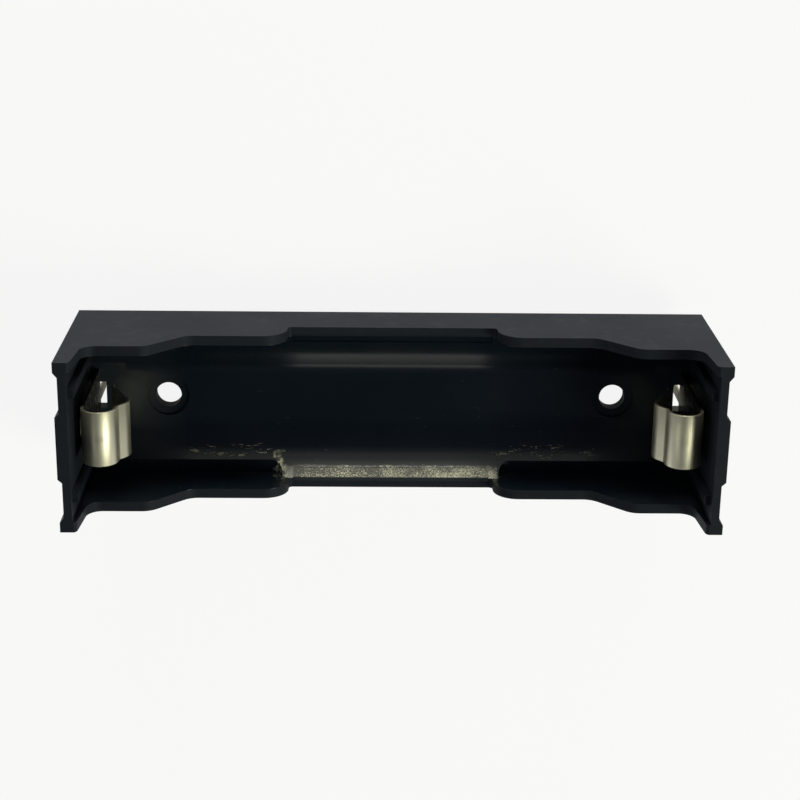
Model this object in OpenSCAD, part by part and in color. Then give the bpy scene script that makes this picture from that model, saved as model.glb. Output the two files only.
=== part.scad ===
// Holder for one round cell, made to stand on a circuit board.
// The board plane is z = 0, the cell lies along X and lifts out along +Z.
// One moulded housing carries two folded leaf contacts, one at each end.

/* [Cell] */
// Diameter of the cell, with its wrap
cell_d = 18.3; // [17.5:0.1:20]
// Length of the cell
cell_l = 65; // [62:0.5:70]
// Gap on each side of the cell, to the long walls
side_clear = 0.05; // [0:0.05:0.4]
// Room at each end of the cell for a contact, to the end wall
contact_bay = 4.9; // [4.6:0.05:6]

/* [Housing] */
// Thickness of the long walls
side_wall = 1.2; // [1:0.1:2]
// Thickness of the end walls
end_wall = 0.95; // [0.8:0.05:1.5]
// How far the long walls run out past the end walls
end_overhang = 0.5; // [0.3:0.1:1]
// Slope of an overhang, along Y, back to the end wall
overhang_slope = 0.6; // [0.3:0.1:1]
// Thickness of the floor under the cell
floor_t = 2.1; // [1.8:0.1:2.6]
// Height of the corners above the cell
corner_above_cell = 1; // [0.6:0.1:3]

/* [Rim of the long walls] */
// Height of the rim beside the contacts
shoulder_h = 14.9; // [13.5:0.1:16.5]
// Height of the rim between shoulder and finger cut-out
waist_h = 10.55; // [9:0.1:12]
// Height of the rim in the finger cut-out
finger_h = 6.7; // [6.2:0.05:8]
// Width of a corner post at its top, from the end of the long wall
post_w = 1.9; // [1.8:0.1:3]
// Lean of a corner post's inner edge
post_lean = 0.55; // [0.1:0.05:1]
// Rounding of the inner corner at the top of each post
post_tip_r = 0.8; // [0.4:0.1:1]
// Length of each shoulder, from the foot of the post to the slope
shoulder_l = 7.3; // [6:0.1:8.5]
// Length of the slope from shoulder to waist
slope_l = 4.5; // [3:0.25:6]
// Half the length of the finger cut-out
finger_half = 12.7; // [10:0.1:15]
// Radius of the soft bends of the rim
rim_bend_r = 2.5; // [1:0.1:3]
// Radius at the foot of the corner posts
post_foot_r = 1.9; // [0.8:0.1:2.5]
// Radius of the rim's corners beside the finger cut-out
finger_corner_r = 3; // [1.5:0.1:3.2]
// Radius at the foot of the finger cut-out
finger_foot_r = 0.5; // [0.2:0.1:1]
// Chamfer along the inner edge of the finger cut-out
finger_chamfer = 0.35; // [0.1:0.05:0.6]

/* [Cell seat] */
// Width of the flat floor strip
strip_floor_w = 6.5; // [5:0.1:7.5]
// Width of the trough between the two curved pads
trough_w = 12.15; // [11:0.05:13]
// How much larger than the cell's the radius of the curved pads is
pad_relief = 2.1; // [1.6:0.1:3]
// Height of the ledges beside the cell, outside the finger cut-out
ledge_h = 4.8; // [4.4:0.1:5.4]
// How far the full pads run past the finger cut-out
pad_extra = 0.8; // [0.2:0.1:2]
// Radius of the corners at the ends of the full pads
pad_end_r = 1.4; // [0.5:0.1:2]
// Width of the floor pocket that takes a contact's foot
foot_pocket_w = 9; // [8:0.25:11]
// Length of the floor pocket, from the end wall
foot_pocket_l = 4.4; // [3:0.1:5]

/* [End walls] */
// Width of the raised field on the outside of an end wall
field_w = 8.5; // [6:0.25:12]
// Slope of the raised field's side edges
field_slope = 0.45; // [0.2:0.05:0.8]
// Distance of the ribs inside an end wall from the middle
rib_y = 6.4; // [5:0.1:7.5]
// Width of a rib
rib_w = 1.2; // [0.8:0.1:1.8]
// How far a rib stands out from the end wall
rib_depth = 0.7; // [0.4:0.05:1.4]
// Distance from the top of a rib to the top of the wall
rib_drop = 1; // [0.4:0.1:3]

/* [Board side] */
// Distance between the two fixing holes
hole_pitch = 55.7; // [50:0.1:58]
// Diameter of the fixing holes
hole_d = 3.2; // [2.4:0.1:3.6]
// Diameter of the seat for a screw head
head_seat_d = 5.2; // [4.6:0.1:6]
// Depth of the seat for a screw head
head_seat_depth = 0.35; // [0.2:0.05:0.8]
// Length of a contact slot along X
slot_l = 1.85; // [1.6:0.05:2.2]
// Width of a contact slot along Y
slot_w = 3.5; // [2.6:0.1:4.2]
// Wall left over the hollows under the seat
core_skin = 1.35; // [1:0.05:1.6]
// Half the width of the solid middle under the seat
keel_half = 5; // [4:0.1:5.6]
// Number of hollows along each side
core_count = 4; // [2:1:6]
// Thickness of the webs between the hollows
core_web = 1.2; // [0.8:0.1:2]

/* [Contacts] */
// Thickness of the strip
strip_t = 0.35; // [0.25:0.05:0.5]
// Width of the strip
strip_w = 6.7; // [5.5:0.1:7.5]
// Height of the contact's top
contact_h = 18.4; // [16.5:0.1:19.5]
// Gap between a contact's leg and the end wall
leg_gap = 0.75; // [0.6:0.05:1]
// Outer radius of the bend at the top
top_bend_r = 2.15; // [1.8:0.05:2.3]
// How far a free contact reaches in past the end of the cell
preload = 1.3; // [0.8:0.05:1.8]
// Radius of the small bend above the belly
neck_r = 0.9; // [0.6:0.1:1.2]
// Lean of the strip above the belly, in degrees
neck_angle = 38; // [30:1:50]
// Radius of the belly
belly_r = 1.9; // [1.4:0.1:2.4]
// Lean of the strip under the belly, in degrees
tail_angle = 28; // [18:1:34]
// Straight length under the belly
tail_l = 4.6; // [3:0.1:5]
// Radius of the curl at the free end
curl_r = 0.8; // [0.6:0.1:1.2]
// Width of the solder pin
pin_w = 1.3; // [1:0.05:2]
// Length of the solder pin under the board plane
pin_l = 3.3; // [2:0.1:5]
// Width of the locking tongue, cut free on three sides and bent out of the leg
tongue_w = 2.2; // [1.4:0.1:3]
// Height of the locking tongue's root
tongue_h = 13.7; // [11:0.1:14.4]
// Width of the slits that cut the locking tongue free
tongue_slit = 0.15; // [0.1:0.05:0.3]
// Angle between the locking tongue and the leg, in degrees
tongue_angle = 50; // [40:1:65]
// Gap between the tongue's tip and the end wall
tongue_clear = 0.1; // [0.05:0.05:0.3]

/* [Hidden] */
tip_rise = post_tip_r / 6; // the tip's arc ends above the top, so it meets it at an edge
$fn = 96;

bend_step = 12;                                     // angle of one facet of a bend
over = 1;                                           // how far a cut runs past a face

wall_in_y = cell_d / 2 + side_clear;                // inner face of the long walls
wall_out_y = wall_in_y + side_wall;
wall_in_x = cell_l / 2 + contact_bay;               // inner face of the end walls
wall_out_x = wall_in_x + end_wall;
body_end_x = wall_out_x + end_overhang;
body_h = floor_t + cell_d + corner_above_cell;

pad_r = cell_d / 2 + pad_relief;
pad_axis_z = finger_h + sqrt(pow(pad_r, 2) - pow(wall_in_y, 2));
trough_z = pad_axis_z - sqrt(pow(pad_r, 2) - pow(trough_w / 2, 2));
ledge_y = sqrt(pow(pad_r, 2) - pow(pad_axis_z - ledge_h, 2));
pad_end_x = finger_half + pad_extra;
core_end_x = wall_in_x - foot_pocket_l - core_web;  // outer end of the outermost hollows

leg_out_x = wall_in_x - leg_gap;                    // face of the leg towards the end wall
leg_x = leg_out_x - strip_t / 2;                    // middle of the leg's thickness
top_r = top_bend_r - strip_t / 2;
top_z = contact_h - top_bend_r;                     // axis height of the top bend
neck_x = leg_x - 2 * top_r;                         // middle of the strip below the top bend
belly_x = cell_l / 2 - preload + strip_t / 2;
tongue_l = (leg_gap + strip_t * (1 - cos(tongue_angle)) - tongue_clear) / sin(tongue_angle);
neck_run = (neck_x - belly_x - (neck_r + belly_r) * (1 - cos(neck_angle))) / sin(neck_angle);

// A strip's middle line: a state is [x, z, heading], a step is [run, bend radius, bend angle]
function after_run(s, run) = [s[0] + run * cos(s[2]), s[1] + run * sin(s[2]), s[2]];
function after_bend(s, r, turn) =
    let (side = sign(turn))
    [s[0] - side * r * (sin(s[2]) - sin(s[2] + turn)),
     s[1] + side * r * (cos(s[2]) - cos(s[2] + turn)),
     s[2] + turn];
function inside_bend(s, r, turn) =
    let (n = ceil(abs(turn) / bend_step))
    [for (k = [1 : n - 1]) after_bend(s, r, turn * k / n)];
function trace(s, steps, i = 0) =
    i == len(steps) ? [s]
    : let (a = after_run(s, steps[i][0]), r = steps[i][1], turn = steps[i][2])
      turn == 0 ? concat([s], trace(a, steps, i + 1))
      : concat([s], steps[i][0] == 0 ? [] : [a], inside_bend(a, r, turn),
               trace(after_bend(a, r, turn), steps, i + 1));
function beside(states, off) = [for (s = states) [s[0] - off * sin(s[2]), s[1] + off * cos(s[2])]];
function backwards(list) = [for (i = [len(list) - 1 : -1 : 0]) list[i]];

// Upright prism: an outline of [x, z] points, drawn out along Y from -half to half
module across(half) {
    rotate([90, 0, 0])
        linear_extrude(2 * half, center = true)
            children();
}

// Prism along X between two places: an outline of [y, z] points
module along(x0, x1) {
    translate([x0, 0, 0])
        rotate([90, 0, 90])
            linear_extrude(x1 - x0)
                children();
}

module both_ends() {
    children();
    mirror([1, 0, 0])
        children();
}

module both_sides() {
    children();
    mirror([0, 1, 0])
        children();
}

// The piece between a corner p and the arc that rounds it, on the sides towards a and b
module corner_piece(a, p, b, r) {
    u = (a - p) / norm(a - p);
    v = (b - p) / norm(b - p);
    half = acos(u * v) / 2;
    c = p + (u + v) / norm(u + v) * r / sin(half);
    difference() {
        polygon([p, p + u * r / tan(half), c, p + v * r / tan(half)]);
        translate(c)
            circle(r);
    }
}

// What is cut away above the rim of the long walls
module above_rim() {
    post_top = [body_end_x - post_w, body_h + tip_rise];
    post_foot = post_top - [post_lean, body_h + tip_rise - shoulder_h];
    slope_top = post_foot - [shoulder_l, 0];
    slope_foot = [slope_top[0] - slope_l, waist_h];
    waist_end = [finger_half, waist_h];
    finger_foot = [finger_half, finger_h];
    across(wall_out_y + over)
        both_ends()
            difference() {
                union() {
                    polygon([post_top, post_foot, slope_top, slope_foot, waist_end, finger_foot,
                             [0, finger_h], [0, body_h + tip_rise]]);
                    corner_piece([body_end_x, body_h + tip_rise], post_top, post_foot, post_tip_r);
                    corner_piece(post_foot, slope_top, slope_foot, rim_bend_r);
                    corner_piece(slope_foot, waist_end, finger_foot, finger_corner_r);
                }
                corner_piece(post_top, post_foot, slope_top, post_foot_r);
                corner_piece(slope_top, slope_foot, waist_end, rim_bend_r);
                corner_piece(waist_end, finger_foot, [0, finger_h], finger_foot_r);
            }
}

// Plan of the outside: the long walls run past the end walls at the corners
module outline() {
    half = [[0, 0],
            [wall_out_x, 0],
            [wall_out_x, wall_out_y - side_wall - overhang_slope],
            [body_end_x, wall_out_y - side_wall],
            [body_end_x, wall_out_y],
            [0, wall_out_y]];
    for (sx = [-1, 1], sy = [-1, 1])
        scale([sx, sy])
            polygon(half);
}

// Trough with a flat floor between two curved pads
module cell_seat(end_x) {
    along(-end_x, end_x)
        polygon([[-strip_floor_w / 2, floor_t], [strip_floor_w / 2, floor_t],
                 [trough_w / 2, trough_z], [trough_w / 2, body_h + over],
                 [-trough_w / 2, body_h + over], [-trough_w / 2, trough_z]]);
    intersection() {
        translate([-end_x, 0, pad_axis_z])
            rotate([0, 90, 0])
                cylinder(r = pad_r, h = 2 * end_x);
        translate([-end_x, -wall_in_y, trough_z])
            cube([2 * end_x, 2 * wall_in_y, body_h + over]);
    }
}

// Room between the long walls, above the ledges and clear of the full pads
module upper_room() {
    room_l = wall_in_x - pad_end_x;
    both_ends()
        translate([pad_end_x, -wall_in_y, 0])
            union() {
                translate([pad_end_r, 0, ledge_h])
                    cube([room_l - pad_end_r, 2 * wall_in_y, body_h]);
                translate([0, 0, ledge_h + pad_end_r])
                    cube([room_l, 2 * wall_in_y, body_h]);
                translate([pad_end_r, 0, ledge_h + pad_end_r])
                    rotate([-90, 0, 0])
                        cylinder(r = pad_end_r, h = 2 * wall_in_y);
            }
    translate([-wall_in_x, -wall_in_y, finger_h])
        cube([2 * wall_in_x, 2 * wall_in_y, body_h]);
}

// Hollows under the seat, so that the moulding has walls of one thickness
module seat_cores() {
    pitch = (2 * core_end_x + core_web) / core_count;
    facet = (trough_z - floor_t) / (trough_w / 2 - strip_floor_w / 2);
    keel_top = floor_t + facet * (keel_half - strip_floor_w / 2) - core_skin;
    for (i = [0 : core_count - 1])
        both_sides()
            along(-core_end_x + i * pitch, -core_end_x + (i + 1) * pitch - core_web)
                polygon([[keel_half, -over], [keel_half, keel_top],
                         [trough_w / 2, trough_z - core_skin], [ledge_y, ledge_h - core_skin],
                         [wall_in_y, ledge_h - core_skin], [wall_in_y, -over]]);
}

module fixing_holes() {
    both_ends()
        translate([hole_pitch / 2, 0, 0]) {
            translate([0, 0, -over])
                cylinder(d = hole_d, h = floor_t + 2 * over);
            translate([0, 0, floor_t - head_seat_depth])
                cylinder(d = head_seat_d, h = head_seat_depth + over);
        }
}

// Pocket for a contact's foot, and the slot that its pin goes through
module contact_seats() {
    both_ends() {
        translate([wall_in_x - foot_pocket_l, -foot_pocket_w / 2, floor_t])
            cube([foot_pocket_l, foot_pocket_w, body_h]);
        translate([wall_in_x - slot_l, -slot_w / 2, -over])
            cube([slot_l, slot_w, floor_t + 2 * over]);
    }
}

// Raised field in the middle of an end wall's outside
module end_fields() {
    both_ends()
        linear_extrude(body_h)
            polygon([[wall_in_x + end_wall / 2, -field_w / 2], [wall_out_x, -field_w / 2],
                     [body_end_x, -field_w / 2 + field_slope], [body_end_x, field_w / 2 - field_slope],
                     [wall_out_x, field_w / 2], [wall_in_x + end_wall / 2, field_w / 2]]);
}

// Upright ribs that stiffen the end walls
module end_ribs() {
    both_ends()
        both_sides()
            translate([wall_in_x - rib_depth, rib_y - rib_w / 2, floor_t])
                cube([rib_depth + end_wall / 2, rib_w, body_h - rib_drop - floor_t]);
}

// Chamfer that eases the inner edge of the finger cut-out
module finger_chamfers() {
    run = finger_half - finger_foot_r;
    both_sides()
        along(-run, run)
            polygon([[wall_in_y - over, finger_h + over], [wall_in_y - over, finger_h - finger_chamfer - over],
                     [wall_in_y + finger_chamfer + over, finger_h + over]]);
}

module housing() {
    color([0.12, 0.13, 0.15]) {
        difference() {
            linear_extrude(body_h)
                outline();
            above_rim();
            finger_chamfers();
            cell_seat(wall_in_x);
            upper_room();
            contact_seats();
            seat_cores();
            fixing_holes();
        }
        end_fields();
        end_ribs();
    }
}

// Leaf contact at the +X end: one strip, folded over at the top, with a belly towards the cell
module contact() {
    leaf = trace([leg_x, floor_t, 90], [
        [top_z - floor_t, top_r, 180],
        [0, neck_r, -neck_angle],
        [neck_run, belly_r, neck_angle + tail_angle],
        [tail_l, curl_r, -tail_angle],
        [0.6, 0, 0]]);
    difference() {
        across(strip_w / 2)
            polygon(concat(beside(leaf, strip_t / 2), backwards(beside(leaf, -strip_t / 2))));
        translate([leg_x - strip_t, -tongue_w / 2 - tongue_slit, tongue_h])
            cube([2 * strip_t, tongue_w + 2 * tongue_slit, tongue_l + tongue_slit]);
    }
    translate([leg_x - strip_t / 2, -pin_w / 2, -pin_l])
        cube([strip_t, pin_w, pin_l + floor_t + strip_t]);
    tongue();
}

// Tongue bent out of the leg, towards the end wall, with its tip up
module tongue() {
    out = [sin(tongue_angle), cos(tongue_angle)];
    root = [leg_x - strip_t / 2, tongue_h];
    tip = root + tongue_l * out;
    across(tongue_w / 2)
        polygon([root - [0, strip_t], root, tip, tip + strip_t * [out[1], -out[0]],
                 root + strip_t * [1, -tan(tongue_angle / 2)], root + strip_t * [1, -1]]);
}

module right_contact() {
    color([0.80, 0.79, 0.72])
        contact();
}

module left_contact() {
    color([0.80, 0.79, 0.72])
        rotate([0, 0, 180])
            contact();
}

housing();
left_contact();
right_contact();
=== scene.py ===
import math
import bpy
import bmesh
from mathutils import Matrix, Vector


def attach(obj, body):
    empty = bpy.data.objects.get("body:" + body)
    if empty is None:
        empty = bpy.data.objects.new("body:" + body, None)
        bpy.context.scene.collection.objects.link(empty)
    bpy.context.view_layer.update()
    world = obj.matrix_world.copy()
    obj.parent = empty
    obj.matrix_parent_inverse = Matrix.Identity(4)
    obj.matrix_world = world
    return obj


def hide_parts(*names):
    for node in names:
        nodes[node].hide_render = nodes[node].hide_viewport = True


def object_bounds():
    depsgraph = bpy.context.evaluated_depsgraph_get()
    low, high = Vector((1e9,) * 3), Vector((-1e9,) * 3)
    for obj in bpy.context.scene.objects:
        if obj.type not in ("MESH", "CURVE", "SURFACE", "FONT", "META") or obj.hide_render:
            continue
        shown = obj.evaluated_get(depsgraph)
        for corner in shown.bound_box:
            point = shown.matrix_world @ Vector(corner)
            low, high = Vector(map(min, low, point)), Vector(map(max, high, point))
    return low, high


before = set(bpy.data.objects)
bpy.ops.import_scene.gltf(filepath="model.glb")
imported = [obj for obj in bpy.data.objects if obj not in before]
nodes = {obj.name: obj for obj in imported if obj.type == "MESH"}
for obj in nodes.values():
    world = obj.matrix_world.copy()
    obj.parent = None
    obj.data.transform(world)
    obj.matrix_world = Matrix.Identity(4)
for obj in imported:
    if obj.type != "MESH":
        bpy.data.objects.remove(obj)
cadLow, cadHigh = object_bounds()
mm = 0.001
print("loaded the holder:", ", ".join(sorted(nodes)))


class Wire:  # a socket's value, so that shader maths reads as an expression
    def __init__(self, maker, socket):
        self.maker = maker
        self.socket = socket

    def math(self, operation, *values):
        made = self.maker.node("ShaderNodeMath", {"operation": operation}, dict(enumerate(values)))
        return made.out("Value")

    def __add__(self, other): return self.math("ADD", self, other)
    def __radd__(self, other): return self.math("ADD", other, self)
    def __sub__(self, other): return self.math("SUBTRACT", self, other)
    def __rsub__(self, other): return self.math("SUBTRACT", other, self)
    def __mul__(self, other): return self.math("MULTIPLY", self, other)
    def __rmul__(self, other): return self.math("MULTIPLY", other, self)
    def __abs__(self): return self.math("ABSOLUTE", self)
    def either(self, other): return self.math("MAXIMUM", self, other)

    def above(self, edge, soft):  # 0 below the edge, 1 above it, smooth over 2 * soft
        return self.maker.node("ShaderNodeMapRange", {"interpolation_type": "SMOOTHSTEP"},
                               {"Value": self, "From Min": edge - soft, "From Max": edge + soft}).out("Result")

    def within(self, low, high, soft): return self.above(low, soft) * (1 - self.above(high, soft))


class MadeNode:
    def __init__(self, maker, node):
        self.maker = maker
        self.node = node

    def out(self, name): return Wire(self.maker, self.node.outputs[name])


class ShaderMaker:
    def __init__(self, owner):
        owner.use_nodes = True
        self.tree = owner.node_tree
        self.tree.nodes.clear()

    def node(self, kind, settings=None, values=None):
        made = self.tree.nodes.new(kind)
        for key, value in (settings or {}).items():
            if key == "stops":
                ramp = made.color_ramp
                while len(ramp.elements) < len(value):
                    ramp.elements.new(0.5)
                for element, (place, colour) in zip(ramp.elements, value):
                    element.position = place
                    element.color = (*colour, 1)
            else:
                setattr(made, key, value)
        for key, value in (values or {}).items():
            self.feed(made.inputs[key], value)
        return MadeNode(self, made)

    def feed(self, socket, value):
        if isinstance(value, Wire):
            self.tree.links.new(value.socket, socket)
        else:
            socket.default_value = value

    def mixColour(self, factor, a, b):
        a, b = (colour if isinstance(colour, Wire) else (*colour, 1) for colour in (a, b))
        return self.node("ShaderNodeMix", {"data_type": "RGBA"}, {0: factor, 6: a, 7: b}).out(2)

    def place(self, scale=(1, 1, 1)):  # place on the piece, in metres
        spot = self.node("ShaderNodeTexCoord").out("Object")
        return self.node("ShaderNodeMapping", {}, {"Vector": spot, "Scale": scale}).out("Vector")

    def inMillimetres(self):
        parts = self.node("ShaderNodeSeparateXYZ", {}, {"Vector": self.place((1000, 1000, 1000))})
        return parts.out("X"), parts.out("Y"), parts.out("Z")

    def noise(self, place, size, detail=3.0, rough=0.55):  # size of one blotch in mm
        return self.node("ShaderNodeTexNoise", {}, {"Vector": place, "Scale": 1000 / size, "Detail": detail,
                                                    "Roughness": rough}).out("Fac")

    def bump(self, height, strength, depth):  # depth in mm
        return self.node("ShaderNodeBump", {}, {"Height": height, "Strength": strength,
                                                "Distance": depth * mm}).out("Normal")

    def glossy(self, surface): return self.node("ShaderNodeBsdfPrincipled", {}, surface).out("BSDF")

    def mixShader(self, factor, a, b):
        return self.node("ShaderNodeMixShader", {}, {0: factor, 1: a, 2: b}).out("Shader")

    def output(self, shader): self.node("ShaderNodeOutputMaterial", {}, {"Surface": shader})


def newMaterial(name):
    material = bpy.data.materials.new(name)
    return material, ShaderMaker(material)


# moulded plastic, polished where the cell lies and finely textured outside, places and sizes in mm
plastic = {
    "black": (0.003, 0.0066, 0.0125), "worn": (0.0062, 0.0106, 0.0165), "outerBlack": (0.013, 0.0172, 0.024),
    # dust is the colour of real wear, the pale glint colour paints highlights
    "dust": (0.2, 0.2, 0.16), "paintedGlint": (0.7, 0.69, 0.5), "bend": 1.5,
    "polished": 0.22, "textured": 0.6, "shine": 0.42, "outerShine": 0.1,
    "wallAt": 9.22, "endAt": 37.35,  # the texture begins beyond these
    "cloudSize": 8, "grainSize": 0.12, "flowSize": 2.6, "crumbSize": 0.19, "chipSize": 0.7, "streakSize": 0.5,
    "clumpSize": 2.5, "patchSize": 1.3, "nickSize": 0.45, "nickSpread": 6, "handledSize": 1.6,
    "padHalf": 13.3, "band": (8.15, 9.45), "bandEdge": 9.19,  # the rubbed edge of the front saddle
    "gougeAlong": (13.2, 14.7), "gougeFront": (6.0, 9.1), "gougeHigh": (4.2, 7.2),
    "scratchAlong": (13.6, 25), "scratchFront": (5.9, 7.3),
    "dullFrom": 27,  # duller towards the contacts
    "reliefShare": 0.3, "relief": 0.05,
}


def makePlastic():
    p = plastic
    material, m = newMaterial("mouldedBlack")
    x, y, z = m.inMillimetres()
    along, front = abs(x), 0 - y
    spot, drawn = m.place(), m.place((0.3, 1, 1))
    walls = abs(y).above(p["wallAt"], 0.02).either(along.above(p["endAt"], 0.02))
    outside = walls.either(1 - z.above(0.05, 0.05))  # with the underside
    cloud = m.noise(spot, p["cloudSize"], 2)
    grain = m.noise(spot, p["grainSize"], 2)
    flow = m.noise(drawn, p["flowSize"], 3)
    crumbs = m.noise(spot, p["crumbSize"], 3, 0.75)
    chips = m.noise(spot, p["chipSize"], 4, 0.75)
    streaks = m.noise(m.place((0.25, 1, 1)), p["streakSize"], 4, 0.75)

    # the front saddle's edge is rubbed grey and speckled with painted glints, more so to the right
    middle = 1 - along.above(p["padHalf"], 0.15)
    ragged = (front + (chips - 0.5) * 0.7).within(*p["band"], 0.15)
    band = ragged * (1 - front.above(p["bandEdge"], 0.02)) * middle
    speckle = crumbs + m.noise(spot, p["clumpSize"], 2) * 0.4 + x * 0.004 + (front - 8.6) * 0.06
    paintedSpecks = band * speckle.above(0.8, 0.17)

    # gouges at both ends of that edge, mostly the left one, then scratches beside it and nicks all over; the
    # gouges and scratches are also lightened as painted glints
    padEnd = along.within(*p["gougeAlong"], 0.15) * front.within(*p["gougeFront"], 0.2)
    padEnd = padEnd * z.within(*p["gougeHigh"], 0.3)
    gouges = padEnd * (chips - x * 0.005).above(0.57, 0.05) * m.noise(spot, p["patchSize"], 1).above(0.44, 0.08)
    beside = front.within(*p["scratchFront"], 0.25) * along.within(*p["scratchAlong"], 1.5)
    scratches = beside * streaks.above(0.6, 0.03)
    nicks = m.noise(drawn, p["nickSize"], 4, 0.7).above(0.69, 0.03)
    nicks = nicks * m.noise(spot, p["nickSpread"], 1).above(0.58, 0.04) * (1 - outside)
    marks = gouges.either(scratches * 0.6).either(nicks * 0.3)
    nearContact = along.above(p["dullFrom"], 3)
    handled = m.noise(spot, p["handledSize"], 3).above(0.62, 0.1) * outside

    height = grain * (0.12 + outside * 0.6) + flow * 0.3 + crumbs * (0.04 + band * 0.9)
    height = height + chips * gouges * 8 + streaks * scratches * 3
    shared = {"IOR": p["bend"], "Normal": m.bump(height, p["reliefShare"], p["relief"])}
    aged = m.mixColour(cloud, p["black"], p["worn"])
    rubbed = m.mixColour((band * 0.25).either(marks * 0.8), aged, p["dust"])
    # painted glints: the specks, gouges and scratches are lightened towards a pale glint colour in place of
    # reflected light
    glintShare = paintedSpecks.either(gouges * 0.7).either(scratches * 0.35)
    inner = m.glossy({**shared, "Base Color": m.mixColour(glintShare, rubbed, p["paintedGlint"]),
                      "Roughness": p["polished"] + (cloud - 0.5) * 0.08 + nearContact * 0.2 + marks * 0.1,
                      "Specular IOR Level": p["shine"]})
    outer = m.glossy({**shared, "Base Color": m.mixColour(handled * 0.015, p["outerBlack"], p["dust"]),
                      "Roughness": p["textured"] + (cloud - 0.5) * 0.12 - handled * 0.03,
                      "Specular IOR Level": p["outerShine"]})
    m.output(m.mixShader(outside, inner, outer))
    return material


# plated spring strip, with painted shade darkening the leg inside the fold
plate = {"face": (0.74, 0.72, 0.57), "dull": (0.55, 0.53, 0.4), "paintedShade": (0.06, 0.065, 0.08),
         "rough": 0.46, "across": 0.3, "cloudSize": 2.4, "lineSize": 1.1, "pitSize": 0.2,
         "legAt": (36.2, 36.72), "shadeFrom": 2, "shadeTo": 16, "reliefShare": 0.15, "relief": 0.01}


def makePlate():
    p = plate
    material, m = newMaterial("nickelPlate")
    x, _, z = m.inMillimetres()
    spot, rolled = m.place(), m.place((1, 12, 1))
    cloud = m.noise(spot, p["cloudSize"], 3)
    lines = m.noise(rolled, p["lineSize"], 4, 0.6)
    pits = m.noise(spot, p["pitSize"], 2).above(0.69, 0.05)
    # painted shade: the leg inside the fold is darkened to near black where the housing would shade it
    shadedLeg = abs(x).within(*p["legAt"], 0.04) * (1 - z.above(p["shadeTo"], 0.6)) * z.above(p["shadeFrom"], 0.3)
    face = m.mixColour(cloud * 0.5 + pits * 0.3, p["face"], p["dull"])
    m.output(m.glossy({
        "Base Color": m.mixColour(shadedLeg * 0.9, face, p["paintedShade"]),
        "Metallic": 1.0,
        "Roughness": p["rough"] - shadedLeg * 0.2 + (cloud - 0.5) * 0.12 + (lines - 0.5) * 0.1,
        "Anisotropic": p["across"],
        "Normal": m.bump(lines * 0.6 + pits * 0.4, p["reliefShare"], p["relief"]),
    }))
    return material


plasticFinish = makePlastic()
plateFinish = makePlate()
print("finishes made")


def addPiece(name, mesh, material, node):
    mesh.name = name
    piece = bpy.data.objects.new(name, mesh)
    bpy.context.scene.collection.objects.link(piece)
    mesh.materials.clear()
    mesh.materials.append(material)
    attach(piece, "root")
    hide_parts(node)
    return piece


# the moulding with its edges eased, lengths in mm and angles in degrees
housing = {"edgeRound": 0.13, "edgeSteps": 2, "sharpFrom": 30, "weld": 0.005, "flatWithin": 0.4}


def makeHousing():
    h = housing
    mesh = nodes["housing"].data.copy()
    if "custom_normal" in mesh.attributes:
        mesh.attributes.remove(mesh.attributes["custom_normal"])
    work = bmesh.new()
    work.from_mesh(mesh)
    bmesh.ops.remove_doubles(work, verts=work.verts, dist=h["weld"] * mm)
    bmesh.ops.dissolve_limit(work, angle_limit=math.radians(h["flatWithin"]),
                             verts=work.verts, edges=work.edges)
    work.to_mesh(mesh)
    work.free()
    mesh.shade_smooth()
    mesh.set_sharp_from_angle(angle=math.radians(h["sharpFrom"]))
    piece = addPiece("mouldedHousing", mesh, plasticFinish, "housing")
    soft = piece.modifiers.new("softEdges", "BEVEL")
    soft.width = h["edgeRound"] * mm
    soft.segments = h["edgeSteps"]
    soft.limit_method = "ANGLE"
    soft.angle_limit = math.radians(h["sharpFrom"])
    soft.harden_normals = True


makeHousing()
print("housing made")

# one folded strip per contact, lengths in mm and angles in degrees, as in the solids
contact = {
    "thick": 0.35, "wide": 6.7, "legOut": 36.65, "foot": 2.1, "top": 18.4, "topRound": 2.15,
    "bellyIn": 31.2, "neckRound": 0.9, "neckLean": 38, "bellyRound": 1.9, "tailLean": 28, "tailRun": 4.6,
    "curlRound": 0.8, "endRun": 0.6,
    "tongueWide": 2.2, "tongueAt": 13.7, "tongueLean": 50, "tongueSlit": 0.15, "tongueTip": 37.3,
    "heelShare": 0.92, "heelLean": 12,  # the lanced tongue bends at this share of its reach
    "pinWide": 1.3, "pinDown": 3.3, "pinUp": 1, "pointLong": 0.5, "pointShare": 0.62,
    "joinShare": 0.99,  # tongue and pin are this much of the strip's thickness, so they join it cleanly
    "bendStep": 4, "edge": 0.05, "sharpFrom": 50, "weld": 0.0005,
}


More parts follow.
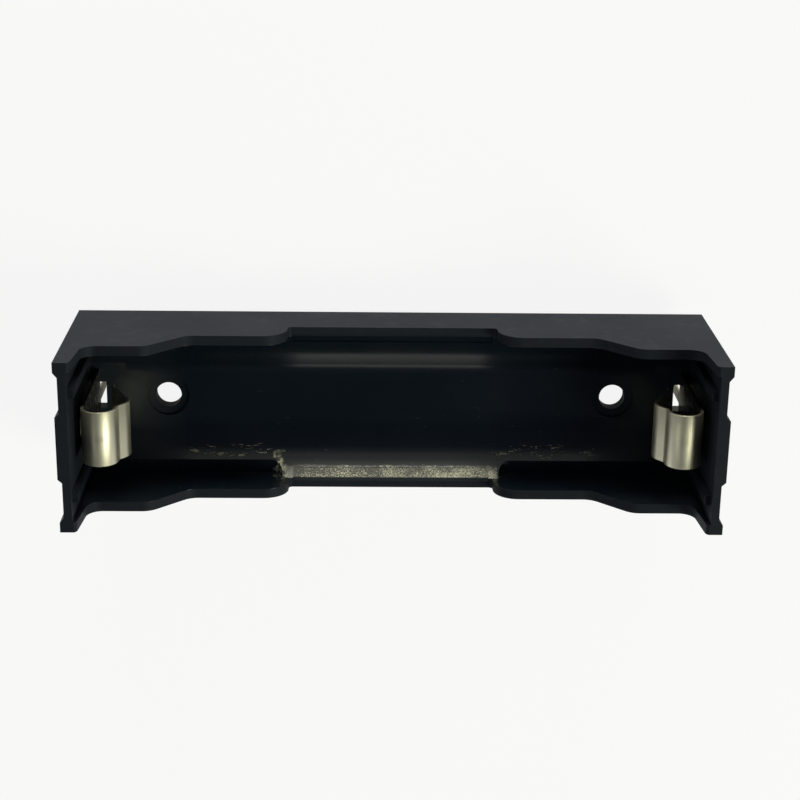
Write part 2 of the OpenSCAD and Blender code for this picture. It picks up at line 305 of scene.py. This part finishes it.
def stripLine():  # (x, z, heading) along the middle of the strip, from its foot to the curl
    c = contact
    half = c["thick"] / 2
    legX, topRound = c["legOut"] - half, c["topRound"] - half
    bellyX = c["bellyIn"] + half
    lean = math.radians(c["neckLean"])
    neckOver = legX - 2 * topRound - bellyX - (c["neckRound"] + c["bellyRound"]) * (1 - math.cos(lean))
    steps = [  # a straight run, then the radius and angle of a bend
        (c["top"] - c["topRound"] - c["foot"], topRound, 180), (0, c["neckRound"], -c["neckLean"]),
        (neckOver / math.sin(lean), c["bellyRound"], c["neckLean"] + c["tailLean"]),
        (c["tailRun"], c["curlRound"], -c["tailLean"]), (c["endRun"], 0, 0)]
    x, z, heading = legX, c["foot"], 90.0
    line = [(x, z, heading)]
    for run, bend, turn in steps:
        aim = math.radians(heading)
        x += run * math.cos(aim)
        z += run * math.sin(aim)
        if run:
            line.append((x, z, heading))
        side, pieces = math.copysign(1, turn), max(1, math.ceil(abs(turn) / c["bendStep"]))
        centreX, centreZ = x - side * bend * math.sin(aim), z + side * bend * math.cos(aim)
        for k in range(1, pieces + 1 if turn else 1):
            now = heading + turn * k / pieces
            aim = math.radians(now)
            line.append((centreX + side * bend * math.sin(aim), centreZ - side * bend * math.cos(aim), now))
        x, z, heading = line[-1]
    return line


def ribbon(work, line, wide, thick, ease):  # a strip along (x, z, heading, share of its width), edges eased
    def ring(x, z, heading, share=1.0):
        loop = []
        aim = math.radians(heading)
        for sideY, sideOut, start in ((1, 1, 0), (-1, 1, 90), (-1, -1, 180), (1, -1, 270)):
            for turn in (0, 45, 90):
                a = math.radians(start + turn)
                across = sideY * (wide * share / 2 - ease) + ease * math.cos(a)
                out = sideOut * (thick / 2 - ease) + ease * math.sin(a)
                spot = Vector((x - out * math.sin(aim), across, z + out * math.cos(aim)))
                loop.append(work.verts.new(spot * mm))
        return loop
    rings = [ring(*spot) for spot in line]
    for a, b in zip(rings, rings[1:]):
        for k in range(len(a)):
            work.faces.new((a[k], a[k - 1], b[k - 1], b[k]))
    work.faces.new(rings[0])
    work.faces.new(reversed(rings[-1]))


def blank(shapeName, build):  # a closed solid on an object of its own, to be cut from or joined to another
    work = bmesh.new()
    build(work)
    bmesh.ops.recalc_face_normals(work, faces=work.faces)
    mesh = bpy.data.meshes.new(shapeName)
    work.to_mesh(mesh)
    work.free()
    item = bpy.data.objects.new(shapeName, mesh)
    bpy.context.scene.collection.objects.link(item)
    return item


def buildWindow(work, legX, reach):  # the opening that the tongue is lanced from
    c = contact
    bmesh.ops.create_cube(work, size=1)
    for v in work.verts:
        v.co = Vector((legX + v.co.x * 3 * c["thick"], v.co.y * (c["tongueWide"] + 2 * c["tongueSlit"]),
                       c["tongueAt"] + (v.co.z + 0.5) * (reach + c["tongueSlit"]))) * mm


def makeContact(name, node, side):
    c = contact
    half = c["thick"] / 2
    legX = c["legOut"] - half
    lean = math.radians(c["tongueLean"])
    reach = (c["tongueTip"] - legX + half - c["thick"] * math.cos(lean)) / math.sin(lean)
    tipX = c["tongueTip"] - half * math.cos(lean)
    tipZ = c["tongueAt"] + reach * math.cos(lean) - half * math.sin(lean)
    heel, bent = c["heelShare"] * reach, 90 - c["tongueLean"]
    tongueLine = [(legX, c["tongueAt"] - 2 * c["thick"], 90), (legX, c["tongueAt"] - half, 88),
                  (tipX - heel * math.sin(lean), tipZ - heel * math.cos(lean), bent + c["heelLean"]),
                  (tipX, tipZ, bent)]
    pinLine = [(legX, c["foot"] + c["pinUp"], 90), (legX, c["pointLong"] - c["pinDown"], 90),
               (legX, -c["pinDown"], 90, c["pointShare"])]
    thinner = c["thick"] * c["joinShare"]
    leaf = blank("leaf", lambda work: ribbon(work, stripLine(), c["wide"], c["thick"], c["edge"]))
    window = blank("window", lambda work: buildWindow(work, legX, reach))
    tongue = blank("tongue", lambda work: ribbon(work, tongueLine, c["tongueWide"], thinner, c["edge"]))
    pin = blank("pin", lambda work: ribbon(work, pinLine, c["pinWide"], thinner, c["edge"]))
    for operation, other in (("DIFFERENCE", window), ("UNION", tongue), ("UNION", pin)):
        join = leaf.modifiers.new(other.name, "BOOLEAN")
        join.object = other
        join.operation = operation
        join.solver = "EXACT"
    bpy.context.view_layer.update()
    joined = leaf.evaluated_get(bpy.context.evaluated_depsgraph_get())
    strip = bpy.data.meshes.new_from_object(joined)
    for item in (leaf, window, tongue, pin):
        bpy.data.objects.remove(item)
    work = bmesh.new()
    work.from_mesh(strip)
    bmesh.ops.remove_doubles(work, verts=work.verts, dist=c["weld"] * mm)
    for v in work.verts:  # the left contact is the right one turned half round
        v.co.x, v.co.y = v.co.x * side, v.co.y * side
    work.to_mesh(strip)
    work.free()
    strip.shade_smooth()
    strip.set_sharp_from_angle(angle=math.radians(c["sharpFrom"]))
    addPiece(name, strip, plateFinish, node)


makeContact("rightSpringContact", "right_contact", 1)
makeContact("leftSpringContact", "left_contact", -1)
print("contacts made")

# pale floor, lengths in mm
stage = {"floorDrop": 0.05, "floorHalf": 3000, "tone": (0.95, 0.95, 0.95), "lift": 0.88,
         "underLong": 38, "underWide": 10, "underSoft": 1}


def makeStage():
    s = stage
    material, m = newMaterial("paleFloor")
    path = m.node("ShaderNodeLightPath")
    x, y, _ = m.inMillimetres()
    beyond = abs(x).above(s["underLong"], s["underSoft"])  # under the holder the floor reflects as shaded
    clear = beyond.either(abs(y).above(s["underWide"], s["underSoft"]))
    mirrored = path.out("Is Glossy Ray") * clear
    seen = path.out("Is Camera Ray").either(mirrored).either(path.out("Is Transmission Ray"))
    matte = m.node("ShaderNodeBsdfDiffuse", {}, {"Color": (*s["tone"], 1)}).out("BSDF")
    glow = m.node("ShaderNodeEmission", {}, {"Color": (1, 1, 1, 1), "Strength": 1.0}).out("Emission")
    m.output(m.mixShader(seen * s["lift"], matte, glow))
    half, low = s["floorHalf"] * mm, cadLow.z - s["floorDrop"] * mm
    corners = [(-half, -half, low), (half, -half, low), (half, half, low), (-half, half, low)]
    mesh = bpy.data.meshes.new("paleFloor")
    mesh.from_pydata(corners, [], [(0, 1, 2, 3)])
    mesh.materials.append(material)
    floor = bpy.data.objects.new("paleFloor", mesh)
    bpy.context.scene.collection.objects.link(floor)


makeStage()
print("floor made")

# a low wide window on the +Y side, a dimmer panel over it, a weak one facing it and one on each end, in metres
lamps = {
    "lowWindow": {"place": (0.05, 0.75, 0.1), "size": (0.4, 0.15), "watts": 3.4, "tint": (1.0, 0.98, 0.82)},
    "windowHead": {"place": (0, 0.65, 0.33), "size": (0.36, 0.28), "watts": 0.15, "tint": (1.0, 0.98, 0.86)},
    "farSide": {"place": (0, -0.72, 0.24), "size": (0.36, 0.2), "watts": 0.24, "tint": (1.0, 0.98, 0.86)},
    "leftSide": {"place": (-0.44, -0.2, 0.46), "size": (0.26, 0.26), "watts": 0.3, "tint": (1.0, 0.99, 0.8)},
    "rightSide": {"place": (0.44, -0.2, 0.46), "size": (0.26, 0.26), "watts": 2.3, "tint": (1.0, 0.99, 0.8)},
}
lampsAimAt = Vector((0, 0, 0.01))


def makeLamps():
    for name, lamp in lamps.items():
        light = bpy.data.lights.new(name, "AREA")
        light.shape = "RECTANGLE"
        light.size, light.size_y = lamp["size"]
        light.energy = lamp["watts"]
        light.color = lamp["tint"]
        item = bpy.data.objects.new(name, light)
        item.location = lamp["place"]
        item.rotation_euler = (lampsAimAt - Vector(lamp["place"])).to_track_quat("-Z", "Y").to_euler()
        bpy.context.scene.collection.objects.link(item)


# the room's glow, from level at 0 to straight up at 1
roomStops = [(0.0, (0.46, 0.46, 0.45)), (0.15, (0.36, 0.36, 0.355)),
             (0.45, (0.12, 0.125, 0.14)), (0.8, (0.036, 0.046, 0.066))]


def makeRoom():
    room = bpy.data.worlds.new("room")
    bpy.context.scene.world = room
    m = ShaderMaker(room)
    way = m.node("ShaderNodeTexCoord").out("Generated")
    upward = m.node("ShaderNodeSeparateXYZ", {}, {"Vector": way}).out("Z")
    tone = m.node("ShaderNodeValToRGB", {"stops": roomStops}, {"Fac": upward}).out("Color")
    glow = m.node("ShaderNodeBackground", {}, {"Color": tone}).out("Background")
    m.node("ShaderNodeOutputWorld", {}, {"Surface": glow})


makeLamps()
makeRoom()
print("light set")

# camera, place, lens and sensor in mm and turn in radians
view = {"place": (-4.42, 73.31, 215.32), "turn": (-0.33308, -0.02462, 0.00576), "lens": 80.8, "sensor": 36,
        "nearest": 1}


def makeCamera():
    camera = bpy.data.cameras.new("camera")
    camera.sensor_width = view["sensor"]
    camera.lens = view["lens"]
    camera.clip_start = view["nearest"] * mm
    eye = bpy.data.objects.new("camera", camera)
    eye.rotation_mode = "ZYX"
    eye.rotation_euler = view["turn"]
    eye.location = Vector(view["place"]) * mm
    bpy.context.scene.collection.objects.link(eye)
    bpy.context.scene.camera = eye


makeCamera()
bpy.context.scene.view_settings.view_transform = "Standard"
print("camera set")

print("scene made")
